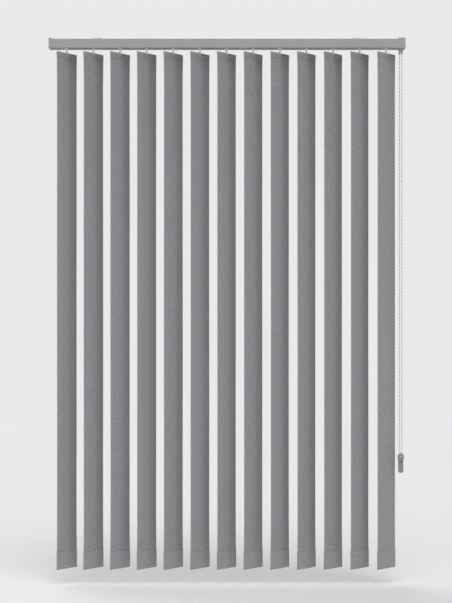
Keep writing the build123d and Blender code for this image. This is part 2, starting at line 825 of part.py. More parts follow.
# Fabric of a louvre with its width along X, hemmed at both ends
louvre_bottom = louvre_top - louvre_length
top_seam = louvre_top - top_hem_height
bottom_seam = louvre_bottom + bottom_hem_height
sheet_half = fabric_thickness / 2
top_half = top_hem_thickness / 2
bottom_half = bottom_hem_thickness / 2
slot_top = peg_z + peg_height / 2
slot_size = (peg_width + 2 * hanger_slot_play, peg_height + hanger_slot_play)
with BuildPart() as fabric:
    with BuildSketch(Plane.YZ.offset(-louvre_width / 2)):
        with BuildLine():
            Polyline(
                (0, louvre_top),
                (top_half / 2, louvre_top),
                (top_half, louvre_top - top_half),
                (top_half, top_seam),
                (sheet_half, top_seam - hem_seam_run),
                (sheet_half, bottom_seam + hem_seam_run),
                (bottom_half, bottom_seam),
                (bottom_half, louvre_bottom + bottom_half),
                (bottom_half / 2, louvre_bottom),
                (0, louvre_bottom),
                close=True,
            )
        make_face()
        mirror(about=Plane.YZ)
        with Locations((0, louvre_top - top_half)):
            Rectangle(
                hanger_thickness + 2 * pocket_clearance,
                top_hem_height - top_half - hem_margin,
                align=(Align.CENTER, Align.MAX),
                mode=Mode.SUBTRACT,
            )
        with Locations((0, louvre_bottom + bottom_half)):
            Rectangle(
                weight_thickness + 2 * pocket_clearance,
                bottom_hem_height - bottom_half - hem_margin,
                align=(Align.CENTER, Align.MIN),
                mode=Mode.SUBTRACT,
            )
    extrude(amount=louvre_width)
    with BuildSketch(Plane.XZ.offset(top_half)):
        with Locations((0, slot_top)):
            Rectangle(*slot_size, align=(Align.CENTER, Align.MAX))
    extrude(amount=-2 * top_half, mode=Mode.SUBTRACT)

# Hanger plate in the top hem
with BuildPart() as hanger:
    with BuildSketch(Plane.XZ.offset(hanger_thickness / 2)):
        with Locations((0, louvre_top - top_half - pocket_clearance)):
            Rectangle(
                louvre_width - 2 * hanger_margin,
                hanger_height,
                align=(Align.CENTER, Align.MAX),
            )
        fillet(vertices(), radius=plate_corner)
        with Locations((0, slot_top)):
            Rectangle(*slot_size, align=(Align.CENTER, Align.MAX), mode=Mode.SUBTRACT)
    extrude(amount=-hanger_thickness)

# Weight plate in the bottom hem
with BuildPart() as weight_plate:
    with BuildSketch(Plane.XZ.offset(weight_thickness / 2)):
        with Locations((0, louvre_bottom + bottom_half + pocket_clearance)):
            Rectangle(
                louvre_width - 2 * weight_margin,
                weight_height,
                align=(Align.CENTER, Align.MIN),
            )
        fillet(vertices(), radius=plate_corner)
    extrude(amount=-weight_thickness)

# Every louvre hangs at its own place along the rail. The rod twists a little on
# its way from the chain, so the tilt grows from one louvre to the next.
lead_carrier = make_carrier(None)
carrier_kinds = [make_carrier(level) for level in range(strip_levels)]
for i, (x, tilt) in enumerate(zip(louvre_x, louvre_tilts)):
    with BuildPart() as carrier:
        with Locations((x, 0, 0)):
            add(lead_carrier if i == 0 else carrier_kinds[i % strip_levels])
    save(carrier.part, f"carrier_{i + 1:02d}")
    with BuildPart() as hook:
        with Locations(Location((x, 0, 0), (0, 0, tilt))):
            add(hook_at_middle.part)
    save(hook.part, f"hook_{i + 1:02d}")
    with BuildPart() as louvre:
        with Locations(Location((x, 0, 0), (0, 0, tilt))):
            add(fabric.part)
            add(hanger.part)
            add(weight_plate.part)
    save(louvre.part, f"louvre_{i + 1:02d}")
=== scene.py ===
# %% [markdown]
# # A vertical blind, dressed in cloth, paint and plastic
#
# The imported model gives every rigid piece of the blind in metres: the headrail, its caps,
# the carriers, the hooks, the wheel of the bead chain and the louvres as plain solids. This
# lesson loads that model, replaces what is soft or finely beaded, and gives each piece the
# finish of the real one. The model is loaded first, because every new piece takes its place
# from it.

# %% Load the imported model
import json
import math
import bpy
import numpy as np
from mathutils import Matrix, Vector


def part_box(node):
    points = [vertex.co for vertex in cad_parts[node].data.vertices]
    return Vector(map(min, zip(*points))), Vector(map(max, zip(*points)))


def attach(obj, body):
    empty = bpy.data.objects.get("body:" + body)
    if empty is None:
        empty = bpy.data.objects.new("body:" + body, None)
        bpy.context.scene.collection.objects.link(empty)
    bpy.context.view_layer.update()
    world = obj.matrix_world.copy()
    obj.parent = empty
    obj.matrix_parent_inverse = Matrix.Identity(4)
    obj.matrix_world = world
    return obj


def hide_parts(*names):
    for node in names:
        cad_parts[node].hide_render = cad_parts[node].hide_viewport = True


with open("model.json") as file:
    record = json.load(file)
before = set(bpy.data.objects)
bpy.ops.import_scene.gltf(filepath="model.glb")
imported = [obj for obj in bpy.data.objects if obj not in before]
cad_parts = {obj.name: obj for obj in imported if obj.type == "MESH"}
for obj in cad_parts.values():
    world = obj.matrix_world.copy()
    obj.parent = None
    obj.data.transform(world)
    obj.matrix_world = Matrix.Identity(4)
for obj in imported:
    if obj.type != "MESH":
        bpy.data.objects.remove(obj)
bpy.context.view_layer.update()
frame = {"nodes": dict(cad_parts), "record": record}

nodes = frame["nodes"]
MM = 0.001
LOUVRES = sorted(name for name in nodes if name.startswith("louvre_"))

# %% [markdown]
# ## The camera
#
# The blind is seen from straight ahead and from a little below the middle of its height, so
# its edges stay parallel. A camera that looks along +Y with no tilt gives that. The horizon
# lies below the middle of the picture, and a small lens shift moves the frame up without
# turning the camera, as an architect's camera does. The focal length follows from the
# distance and from how much of the blind one pixel covers.

# %% Place the camera
CAMERA_DISTANCE, CAMERA_HEIGHT = 4.9, -0.8956
METRES_PER_PIXEL, PIXELS_HIGH = 0.00293, 603
SENSOR_WIDTH = 36.0
SHIFT_ACROSS, SHIFT_UP = -0.0018, 0.0705
camera_data = bpy.data.cameras.new("camera")
camera_data.sensor_width = SENSOR_WIDTH
camera_data.lens = CAMERA_DISTANCE / METRES_PER_PIXEL / PIXELS_HIGH * SENSOR_WIDTH
camera_data.shift_x = SHIFT_ACROSS
camera_data.shift_y = SHIFT_UP
camera = bpy.data.objects.new("camera", camera_data)
camera.location = (0.0, -CAMERA_DISTANCE, CAMERA_HEIGHT)
camera.rotation_euler = (math.radians(90), 0, 0)
bpy.context.scene.collection.objects.link(camera)
bpy.context.scene.camera = camera
bpy.context.scene.view_settings.view_transform = "Standard"
print("lens", round(camera_data.lens, 1), "mm")

# %% [markdown]
# ## A helper for sums in nodes
#
# The world and the materials are both trees of nodes, and both need small sums, such as a
# direction times a level. Each Math node does one step of a sum. The helper adds a node and
# wires it, so that the code below reads almost like the sum itself.

# %% Math node helper
def math_node(tree, operation, *values, clamp=False):
    """Adds one Math node; its values are sockets or plain numbers, in the node's order."""
    node = tree.nodes.new("ShaderNodeMath")
    node.operation = operation
    node.use_clamp = clamp
    for socket, value in zip(node.inputs, values):
        if isinstance(value, (int, float)):
            socket.default_value = value
        else:
            tree.links.new(value, socket)
    return node.outputs[0]


# %% [markdown]
# ## The studio's surround
#
# A blind is judged by its tone against a bright background. Two backgrounds are mixed for
# that. The camera, reflections and light that passes through a piece see a plain pale one.
# The blind itself is lit by a dimmer one from all sides, which is brighter on the left, in
# front and above: its strength is a level times one plus the slope along each direction.
# That gives the two sides of each louvre their own tone without a hard shadow.

# %% Surround
SEEN_LEVEL = 0.83
SURROUND_LEVEL = 0.36
SURROUND_SLOPE = (-0.9, -0.2, 0.2)
SURROUND_COLOUR = (0.985, 0.99, 1.0, 1)
world = bpy.data.worlds.new("studio")
bpy.context.scene.world = world
world.use_nodes = True
tree = world.node_tree
tree.nodes.clear()
direction = tree.nodes.new("ShaderNodeTexCoord")
slope = tree.nodes.new("ShaderNodeVectorMath")
slope.operation = "DOT_PRODUCT"
slope.inputs[1].default_value = SURROUND_SLOPE
tree.links.new(direction.outputs["Generated"], slope.inputs[0])
lit = tree.nodes.new("ShaderNodeBackground")
lit.inputs["Color"].default_value = SURROUND_COLOUR
lit_level = math_node(tree, "MULTIPLY_ADD", slope.outputs["Value"], SURROUND_LEVEL, SURROUND_LEVEL)
tree.links.new(lit_level, lit.inputs["Strength"])
seen = tree.nodes.new("ShaderNodeBackground")
seen.inputs["Color"].default_value = SURROUND_COLOUR
seen.inputs["Strength"].default_value = SEEN_LEVEL
rays = tree.nodes.new("ShaderNodeLightPath").outputs
seen_ray = math_node(tree, "MAXIMUM", rays["Is Camera Ray"], rays["Is Glossy Ray"])
seen_ray = math_node(tree, "MAXIMUM", seen_ray, rays["Is Transmission Ray"])
choose = tree.nodes.new("ShaderNodeMixShader")
output = tree.nodes.new("ShaderNodeOutputWorld")
for i, socket in enumerate((seen_ray, lit.outputs[0], seen.outputs[0])):
    tree.links.new(socket, choose.inputs[i])
tree.links.new(choose.outputs[0], output.inputs[0])
print("surround", SURROUND_LEVEL, "seen background", SEEN_LEVEL)

# %% [markdown]
# ## The studio's lamps
#
# Three suns with wide discs give soft light whose level doesn't fall off down the long
# louvres. The upper one shines down from in front. The side one comes from the right and is
# narrower, so each louvre's leading edge shades the louvre to its left a little. The back
# one keeps the far side readable. A round area lamp low in front lifts the lower half.

# %% Lamps
SUN_DISTANCE = 4.0  # only the direction counts for a sun
SUNS = {  # degrees to the right of straight ahead, degrees up, energy, disc in degrees, colour
    "upper lamp": (-3, 54, 1.9, 50, (1.0, 0.99, 0.975)),
    "side lamp": (46, 12, 0.36, 16, (1.0, 0.995, 0.985)),
    "back lamp": (-150, 35, 1.1, 60, (1.0, 1.0, 1.0)),
}
FRONT_PLACE, FRONT_TARGET = (-0.35, -2.4, -1.35), (-0.1, 0.0, -1.2)
FRONT_SIZE, FRONT_ENERGY = 1.2, 15.0


def place_lamp(data, place, target):
    """Puts a lamp in the scene so that its -Z axis runs from its place to the target."""
    lamp = bpy.data.objects.new(data.name, data)
    lamp.location = place
    lamp.rotation_euler = (Vector(target) - Vector(place)).to_track_quat("-Z", "Y").to_euler()
    bpy.context.scene.collection.objects.link(lamp)


for name, (azimuth, elevation, energy, disc, colour) in SUNS.items():
    sun = bpy.data.lights.new(name, "SUN")
    sun.energy = energy
    sun.angle = math.radians(disc)
    sun.color = colour
    azimuth, elevation = math.radians(azimuth), math.radians(elevation)
    place_lamp(sun, (SUN_DISTANCE * math.sin(azimuth) * math.cos(elevation),
                     -SUN_DISTANCE * math.cos(azimuth) * math.cos(elevation),
                     SUN_DISTANCE * math.sin(elevation)), (0.0, 0.0, 0.0))
front_lamp = bpy.data.lights.new("front lamp", "AREA")
front_lamp.shape = "DISK"
front_lamp.size = FRONT_SIZE
front_lamp.energy = FRONT_ENERGY
place_lamp(front_lamp, FRONT_PLACE, FRONT_TARGET)
print("lamps", [light.name for light in bpy.data.lights])

# %% [markdown]
# ## A helper for surfaces
#
# Most new pieces are grids: a function of two parameters gives every point at once as a
# numpy array, and one helper hands the array to Blender. It writes the flat cloth
# coordinates into a UV map as well, in metres, so that a weave keeps its real size.

# %% Grid helpers
def grid_quads(rows, cols, closed=False):
    """Quads of a grid: each joins point (r, c) to (r, c+1), (r+1, c+1) and (r+1, c).

    On a closed grid the last column is joined to the first."""
    r, c = np.meshgrid(np.arange(rows - 1), np.arange(cols if closed else cols - 1),
                       indexing="ij")
    n = (c + 1) % cols
    quads = [r * cols + c, r * cols + n, (r + 1) * cols + n, (r + 1) * cols + c]
    return np.stack(quads, axis=-1).reshape(-1, 4)


def mesh_from(name, verts, quads, uv=None):
    """Makes a smooth-shaded object at the origin from vertex and quad arrays."""
    mesh = bpy.data.meshes.new(name)
    mesh.vertices.add(len(verts))
    mesh.vertices.foreach_set("co", np.asarray(verts, dtype=np.float32).ravel())
    mesh.loops.add(quads.size)
    mesh.loops.foreach_set("vertex_index", quads.astype(np.int32).ravel())
    mesh.polygons.add(len(quads))
    mesh.polygons.foreach_set("loop_start", np.arange(0, quads.size, 4, dtype=np.int32))
    mesh.polygons.foreach_set("use_smooth", np.ones(len(quads), dtype=bool))
    mesh.update(calc_edges=True)
    if uv is not None:
        layer = mesh.uv_layers.new(name="cloth")
        layer.data.foreach_set("uv", uv[quads.ravel()].astype(np.float32).ravel())
    mesh.validate()
    piece = bpy.data.objects.new(name, mesh)
    bpy.context.scene.collection.objects.link(piece)
    return piece


def grid_mesh(name, points, uv=None):
    """Makes an open grid from points (rows, columns, 3) and flat places (rows, columns, 2)."""
    quads = grid_quads(*points.shape[:2])
    return mesh_from(name, points.reshape(-1, 3), quads, None if uv is None else uv.reshape(-1, 2))


# %% [markdown]
# ## Shared effects
#
# Three effects are used by more than one material or are rich enough to be a tool of their
# own, so each is a node group with named inputs and outputs. The helpers below make a
# group's sockets, a noise pattern and a stretched coordinate.

# %% Group helpers
def new_group(name, inputs, outputs):
    """Makes a shader node group with float or vector sockets and returns its parts."""
    group = bpy.data.node_groups.new(name, "ShaderNodeTree")
    for label, kind, value in inputs:
        socket = group.interface.new_socket(label, in_out="INPUT", socket_type=kind)
        if value is not None:
            socket.default_value = value
    for label, kind in outputs:
        group.interface.new_socket(label, in_out="OUTPUT", socket_type=kind)
    return group, group.nodes.new("NodeGroupInput"), group.nodes.new("NodeGroupOutput")


def noise_node(tree, vector, scale, detail, roughness=0.5):
    """Adds a Noise Texture and returns its 0..1 factor; scale is a socket or a number."""
    node = tree.nodes.new("ShaderNodeTexNoise")
    node.inputs["Detail"].default_value = detail
    node.inputs["Roughness"].default_value = roughness
    if isinstance(scale, (int, float)):
        node.inputs["Scale"].default_value = scale
    else:
        tree.links.new(scale, node.inputs["Scale"])
    tree.links.new(vector, node.inputs["Vector"])
    return node.outputs["Fac"]


def stretched(tree, vector, factors):
    """Multiplies a coordinate axis by axis, which stretches a pattern along an axis."""
    node = tree.nodes.new("ShaderNodeVectorMath")
    node.operation = "MULTIPLY"
    node.inputs[1].default_value = factors
    tree.links.new(vector, node.inputs[0])
    return node.outputs[0]


# %% [markdown]
# ### Weave
#
# The cloth is a plain weave: warp and weft threads pass over and under each other in turn.
# It is worked out from the cloth's own flat coordinates, so it follows every fold. Slubs are
# places where a thread is thicker, and they make short dashes along both directions. Uneven
# dye adds a cloudy mottle, which is what the eye keeps of the weave from a step away.

# %% Weave group
THREAD_DIP = 0.35
WARP_SLUBS, WEFT_SLUBS = (90, 900, 1), (900, 60, 1)  # patches per metre along each axis
CLOUDS_PER_METRE, CLOUD_DETAIL, CLOUD_ROUGHNESS = 210.0, 3.0, 0.7


def make_weave_group():
    """Height = the higher of warp and weft, each a sine without its sign, raised where it
    passes over and lowered where it passes under; shade = 1 + slub times the sum of two stretched
    noises + mottle times an even noise."""
    group, gin, gout = new_group(
        "plain weave",
        [("Vector", "NodeSocketVector", None), ("Threads per metre", "NodeSocketFloat", 1700.0),
         ("Slub", "NodeSocketFloat", 0.5), ("Mottle", "NodeSocketFloat", 0.5)],
        [("Height", "NodeSocketFloat"), ("Shade", "NodeSocketFloat")])
    vector = gin.outputs["Vector"]
    split = group.nodes.new("ShaderNodeSeparateXYZ")
    group.links.new(vector, split.inputs[0])
    turns = math_node(group, "MULTIPLY", gin.outputs["Threads per metre"], math.pi)
    across = math_node(group, "MULTIPLY", split.outputs["X"], turns)
    along = math_node(group, "MULTIPLY", split.outputs["Y"], turns)
    warp = math_node(group, "ABSOLUTE", math_node(group, "SINE", across))
    weft = math_node(group, "ABSOLUTE", math_node(group, "SINE", along))
    over_across = math_node(group, "SINE", math_node(group, "ADD", across, math.pi / 2))
    over_along = math_node(group, "SINE", math_node(group, "ADD", along, math.pi / 2))
    over = math_node(group, "MULTIPLY", over_across, over_along)
    dip = math_node(group, "MULTIPLY", over, THREAD_DIP)
    height = math_node(group, "MAXIMUM", math_node(group, "ADD", warp, dip),
                       math_node(group, "SUBTRACT", weft, dip))
    slub = math_node(group, "ADD", *(noise_node(group, stretched(group, vector, slubs), 1.0, 2.0)
                                     for slubs in (WARP_SLUBS, WEFT_SLUBS)))
    slub = math_node(group, "SUBTRACT", slub, 1.0)
    slub = math_node(group, "MULTIPLY", slub, gin.outputs["Slub"])
    cloud = noise_node(group, vector, CLOUDS_PER_METRE, CLOUD_DETAIL, CLOUD_ROUGHNESS)
    cloud = math_node(group, "SUBTRACT", cloud, 0.5)
    cloud = math_node(group, "MULTIPLY", cloud, gin.outputs["Mottle"])
    shade = math_node(group, "ADD", math_node(group, "ADD", slub, cloud), 1.0)
    group.links.new(height, gout.inputs["Height"])
    group.links.new(shade, gout.inputs["Shade"])
    return group


weave_group = make_weave_group()
print("node group", weave_group.name)

# %% [markdown]
# ### Grain and dust
#
# Powder coat and moulded plastic are never quite even. A fine grain gives their relief, and
# a broad one varies their shade. Dust is the faint pale film that settles on faces that look
# up, such as the top of the rail, and it is broken up so that it doesn't look painted on.

# %% Grain and dust groups
BROAD_PATCHES, BROAD_DETAIL, BROAD_ROUGHNESS = 22.0, 3.0, 0.55
DUST_PATCHES, DUST_DETAIL, DUST_ROUGHNESS = 60.0, 4.0, 0.6
DUST_LIFT = 1.4


def make_grain_group():
    """Height = fine even noise; mask = broad noise; shade = 1 + mask about 0 x unevenness."""
    group, gin, gout = new_group(
        "moulded grain",
        [("Vector", "NodeSocketVector", None), ("Grain per metre", "NodeSocketFloat", 1500.0),
         ("Unevenness", "NodeSocketFloat", 0.06)],
        [("Height", "NodeSocketFloat"), ("Shade", "NodeSocketFloat"),
         ("Mask", "NodeSocketFloat")])
    vector = gin.outputs["Vector"]
    fine = noise_node(group, vector, gin.outputs["Grain per metre"], 2.0, 0.6)
    broad = noise_node(group, vector, BROAD_PATCHES, BROAD_DETAIL, BROAD_ROUGHNESS)
    shift = math_node(group, "MULTIPLY", math_node(group, "SUBTRACT", broad, 0.5),
                      gin.outputs["Unevenness"])
    group.links.new(fine, gout.inputs["Height"])
    group.links.new(math_node(group, "ADD", shift, 1.0), gout.inputs["Shade"])
    group.links.new(broad, gout.inputs["Mask"])
    return group


def make_dust_group():
    """Dust = the upward part of the normal, squared, times noise, a lift and the amount."""
    group, gin, gout = new_group(
        "settled dust",
        [("Vector", "NodeSocketVector", None), ("Normal", "NodeSocketVector", None),
         ("Amount", "NodeSocketFloat", 0.3)],
        [("Dust", "NodeSocketFloat")])
    split = group.nodes.new("ShaderNodeSeparateXYZ")
    group.links.new(gin.outputs["Normal"], split.inputs[0])
    up = math_node(group, "POWER", math_node(group, "MAXIMUM", split.outputs["Z"], 0.0), 2.0)
    patch = noise_node(group, gin.outputs["Vector"], DUST_PATCHES, DUST_DETAIL, DUST_ROUGHNESS)
    dust = math_node(group, "MULTIPLY", up, math_node(group, "MULTIPLY", patch, DUST_LIFT))
    dust = math_node(group, "MULTIPLY", dust, gin.outputs["Amount"], clamp=True)
    group.links.new(dust, gout.inputs["Dust"])
    return group


grain_group = make_grain_group()
dust_group = make_dust_group()
print("node groups", [group.name for group in bpy.data.node_groups])

# %% [markdown]
# ## The cloth
#
# The louvres are cut from a stiffened polyester weave in mid grey. Its threads are about
# 0.6 mm apart and a little uneven, which reads as a fine mottle from a step away. The cloth
# is matt, with a slight sheen at grazing angles. Where the hems are welded the threads are
# pressed flat and look darker, so the material multiplies the weave's shade by 1 less the
# weld's depth, wherever the strip carries the weld attribute.

# %% Cloth material
CLOTH_COLOUR = (0.270, 0.267, 0.283)
CLOTH_SLUB, CLOTH_MOTTLE = 0.55, 1.35
CLOTH_RELIEF, CLOTH_RELIEF_STRENGTH = 0.12 * MM, 0.8
WELD_DEPTH = 0.28


def new_material(name):
    """Makes a node material and returns it with its tree and its Principled shader."""
    material = bpy.data.materials.new(name)
    material.use_nodes = True
    return material, material.node_tree, material.node_tree.nodes["Principled BSDF"]


def group_node(tree, group, **values):
    """Places a node group in a material and sets its inputs by name."""
    node = tree.nodes.new("ShaderNodeGroup")
    node.node_tree = group
    for label, value in values.items():
        node.inputs[label.replace("_", " ")].default_value = value
    return node


def tinted(tree, colour, shade):
    """Multiplies a plain colour by a shade that varies over the surface."""
    node = tree.nodes.new("ShaderNodeVectorMath")
    node.operation = "SCALE"
    node.inputs[0].default_value = colour
    tree.links.new(shade, node.inputs["Scale"])
    return node.outputs[0]


def bump(tree, shader, height, distance, strength=1.0):
    """Feeds a height of 0 to 1, times a distance in metres, to the shader's normal."""
    node = tree.nodes.new("ShaderNodeBump")
    node.inputs["Distance"].default_value = distance
    node.inputs["Strength"].default_value = strength
    tree.links.new(height, node.inputs["Height"])
    tree.links.new(node.outputs[0], shader.inputs["Normal"])


cloth, tree, shader = new_material("louvre cloth")
flat = tree.nodes.new("ShaderNodeUVMap")
flat.uv_map = "cloth"
weave = group_node(tree, weave_group, Slub=CLOTH_SLUB, Mottle=CLOTH_MOTTLE)
tree.links.new(flat.outputs["UV"], weave.inputs["Vector"])
weld = tree.nodes.new("ShaderNodeAttribute")
weld.attribute_name = "weld"
pressed = math_node(tree, "MULTIPLY_ADD", weld.outputs["Fac"], -WELD_DEPTH, 1.0)
shade = math_node(tree, "MULTIPLY", weave.outputs["Shade"], pressed)
tree.links.new(tinted(tree, CLOTH_COLOUR, shade), shader.inputs["Base Color"])
for label, value in (("Roughness", 0.86), ("Specular IOR Level", 0.25), ("Sheen Weight", 0.15),
                     ("Sheen Roughness", 0.5)):
    shader.inputs[label].default_value = value
bump(tree, shader, weave.outputs["Height"], CLOTH_RELIEF, CLOTH_RELIEF_STRENGTH)
print("cloth", CLOTH_COLOUR)

# %% [markdown]
# ## Paint, plastic and metal
#
# The headrail is powder-coated aluminium, the caps are satin plastic in the same grey, and
# the hooks and beads are lighter, slightly waxy plastic. One function makes them all from a
# colour, a roughness and the size of the grain, because on the real blind they differ in
# little else. Inner metal parts are plain extruded or ground metal.

# %% Rigid finishes
ROUGHNESS_SWING = 0.12
DUST_COLOUR, DUST_ROUGHENS = (0.50, 0.49, 0.47, 1), 0.3


def moulded(name, colour, roughness, grain, relief, unevenness=0.06, dust=0.0, metallic=0.0):
    """Colour times grain shade, mixed with dust; roughness varies a little with the grain."""
    material, tree, shader = new_material(name)
    place = tree.nodes.new("ShaderNodeTexCoord").outputs["Object"]
    grains = group_node(tree, grain_group, Grain_per_metre=grain, Unevenness=unevenness)
    tree.links.new(place, grains.inputs["Vector"])
    base = tinted(tree, colour, grains.outputs["Shade"])
    rough = math_node(tree, "MULTIPLY", grains.outputs["Mask"], ROUGHNESS_SWING)
    rough = math_node(tree, "ADD", rough, roughness - ROUGHNESS_SWING / 2)
    if dust:
        film = group_node(tree, dust_group, Amount=dust)
        shape = tree.nodes.new("ShaderNodeNewGeometry")
        tree.links.new(place, film.inputs["Vector"])
        tree.links.new(shape.outputs["Normal"], film.inputs["Normal"])
        mix = tree.nodes.new("ShaderNodeMix")
        mix.data_type = "RGBA"
        clean, dusty = [s for s in mix.inputs if s.type == "RGBA"]
        dusty.default_value = DUST_COLOUR
        tree.links.new(film.outputs["Dust"], mix.inputs["Factor"])
        tree.links.new(base, clean)
        base = [s for s in mix.outputs if s.type == "RGBA"][0]
        rough = math_node(tree, "ADD", rough, math_node(
            tree, "MULTIPLY", film.outputs["Dust"], DUST_ROUGHENS))
    tree.links.new(base, shader.inputs["Base Color"])
    tree.links.new(rough, shader.inputs["Roughness"])
    shader.inputs["Metallic"].default_value = metallic
    bump(tree, shader, grains.outputs["Height"], relief)
    return material


FINISHES = {
    "rail": dict(name="powder-coated rail", colour=(0.262, 0.258, 0.268), roughness=0.42,
                 grain=2600, relief=0.03 * MM, unevenness=0.05, dust=0.35),
    "cap_plastic": dict(name="satin cap plastic", colour=(0.272, 0.268, 0.279), roughness=0.45,
                        grain=1800, relief=0.02 * MM, unevenness=0.05, dust=0.3),
    "hook_plastic": dict(name="hook plastic", colour=(0.66, 0.655, 0.67), roughness=0.40,
                         grain=1500, relief=0.02 * MM, unevenness=0.08),
    "carrier_plastic": dict(name="carrier plastic", colour=(0.70, 0.70, 0.70), roughness=0.45,
                            grain=1500, relief=0.02 * MM, dust=0.2),
    "gear_plastic": dict(name="gear plastic", colour=(0.72, 0.72, 0.70), roughness=0.38,
                         grain=1500, relief=0.01 * MM, unevenness=0.04),
    "chain_plastic": dict(name="bead plastic", colour=(0.42, 0.415, 0.42), roughness=0.32,
                          grain=1500, relief=0.01 * MM, unevenness=0.08),
    "weight_plastic": dict(name="chain weight plastic", colour=(0.175, 0.172, 0.181),
                           roughness=0.40, grain=1600, relief=0.02 * MM, dust=0.2),
    "bracket_steel": dict(name="zinc-plated steel", colour=(0.60, 0.60, 0.61), roughness=0.34,
                          grain=900, relief=0.01 * MM, unevenness=0.10, dust=0.2, metallic=1.0),
    "axle_steel": dict(name="ground steel", colour=(0.50, 0.50, 0.51), roughness=0.40,
                       grain=3000, relief=0.01 * MM, unevenness=0.05, metallic=1.0),
    "rod_metal": dict(name="extruded aluminium", colour=(0.72, 0.72, 0.73), roughness=0.33,
                      grain=2000, relief=0.01 * MM, unevenness=0.05, dust=0.1, metallic=1.0),
}
finishes = {slot: moulded(**values) for slot, values in FINISHES.items()}
finishes["fabric"] = cloth
for entry in frame["record"]["subparts"]:
    node = nodes[entry["node"]]
    node.data.materials.clear()
    node.data.materials.append(finishes[entry["material_slot"]])
print("finishes", len(finishes))

# %% [markdown]
# ## The louvres
#
# Each louvre is one strip of cloth. At the top it is folded back over a thin hanger plate,
# at the bottom over a weight plate, and both folds are welded across in a narrow seam. The
# strip is worked out as a path seen from the edge: up the back of the top hem, over the
# hanger, down the front, through the seam into the single layer, and round the weight in
# the same way. The path carries its own length too, from which the weave is drawn, and a
# mark for the welds.

# %% Path of a louvre
UP = np.array([0.0, 0.0, 1.0])
CLOTH_THICKNESS = 0.4 * MM
TOP_HEM, BOTTOM_HEM = 17 * MM, 52 * MM
TOP_FOLD, BOTTOM_FOLD = 0.7 * MM, 0.9 * MM
FOLD_POINTS = 7
SEAM_RUN = 1.5 * MM
FLAT_AT, EVEN_AT = 1.4 * SEAM_RUN, 3 * SEAM_RUN
ROW_STEP, LEAST_STEP = 12 * MM, 1e-6


def fold(height, radius, side):
    """Half a circle round a middle at the height: rows of (offset, height, weld).

    side is 1 for a fold over the top, from the back, and -1 for one round the bottom."""
    half_turn = np.linspace(0, math.pi, FOLD_POINTS)
    return np.stack([-side * np.cos(half_turn) * radius,
                     height + side * np.sin(half_turn) * radius, 0 * half_turn], axis=1)


def louvre_path(top, bottom):
    """The strip seen from its edge: rows of (offset from the middle, height, length, weld).

    Corner points are joined by straight runs, and each fold is half a circle. Length is the
    sum of the runs so far. A long run is divided into even steps of 12 mm or a little more."""
    seam, low_seam = top - TOP_HEM, bottom + BOTTOM_HEM
    back = -CLOTH_THICKNESS
    corners = np.concatenate([
        [(back, seam - SEAM_RUN, 0), (back, seam, 1), (-TOP_FOLD, seam + SEAM_RUN, 0)],
        fold(top - TOP_FOLD - CLOTH_THICKNESS / 2, TOP_FOLD, 1),
        [(TOP_FOLD, seam + SEAM_RUN, 0), (0, seam - SEAM_RUN / 3, 1), (0, seam - FLAT_AT, 0),
         (0, seam - EVEN_AT, 0), (0, low_seam + EVEN_AT, 0), (0, low_seam + FLAT_AT, 0),
         (0, low_seam + SEAM_RUN / 3, 1), (BOTTOM_FOLD, low_seam - SEAM_RUN, 0)],
        fold(bottom + BOTTOM_FOLD + CLOTH_THICKNESS / 2, BOTTOM_FOLD, -1),
        [(-BOTTOM_FOLD, low_seam - SEAM_RUN, 0), (back, low_seam, 1),
         (back, low_seam + SEAM_RUN, 0)]])
    hops = np.linalg.norm(np.diff(corners[:, :2], axis=0), axis=1)
    run = np.concatenate([[0], np.cumsum(hops)])
    divided = [np.linspace(a, b, max(2, int((b - a) / ROW_STEP) + 1))
               for a, b in zip(run[:-1], run[1:])]
    steps = np.unique(np.concatenate([run] + divided))
    steps = steps[np.concatenate([[True], np.diff(steps) > LEAST_STEP])]
    offset, height, weld = (np.interp(steps, run, column) for column in corners.T)
    return np.stack([offset, height, steps, weld], axis=1)


print("rows of a louvre", len(louvre_path(0.0, -1.51)))

# %% [markdown]
# A second parameter carries the path across the louvre's width. The cloth is stiff, but it
# still cups by not quite 2 mm between the hems, with slow waves of a quarter of a
# millimetre, which keeps the light on it alive. The plates hold the hems flat and a little
# wider than the rest. Solidify gives the cloth its thickness afterwards.

# %% Cloth of a louvre
LOUVRE_WIDTH = 89 * MM
COLUMNS = 19
WAVES, WAVE_DEPTH, CUP_DEPTH = 3, 0.25 * MM, 1.8 * MM
HEM_SPREAD = 0.8 * MM
HELD_RUN = 0.08
PATTERN_SHIFT = 0.1


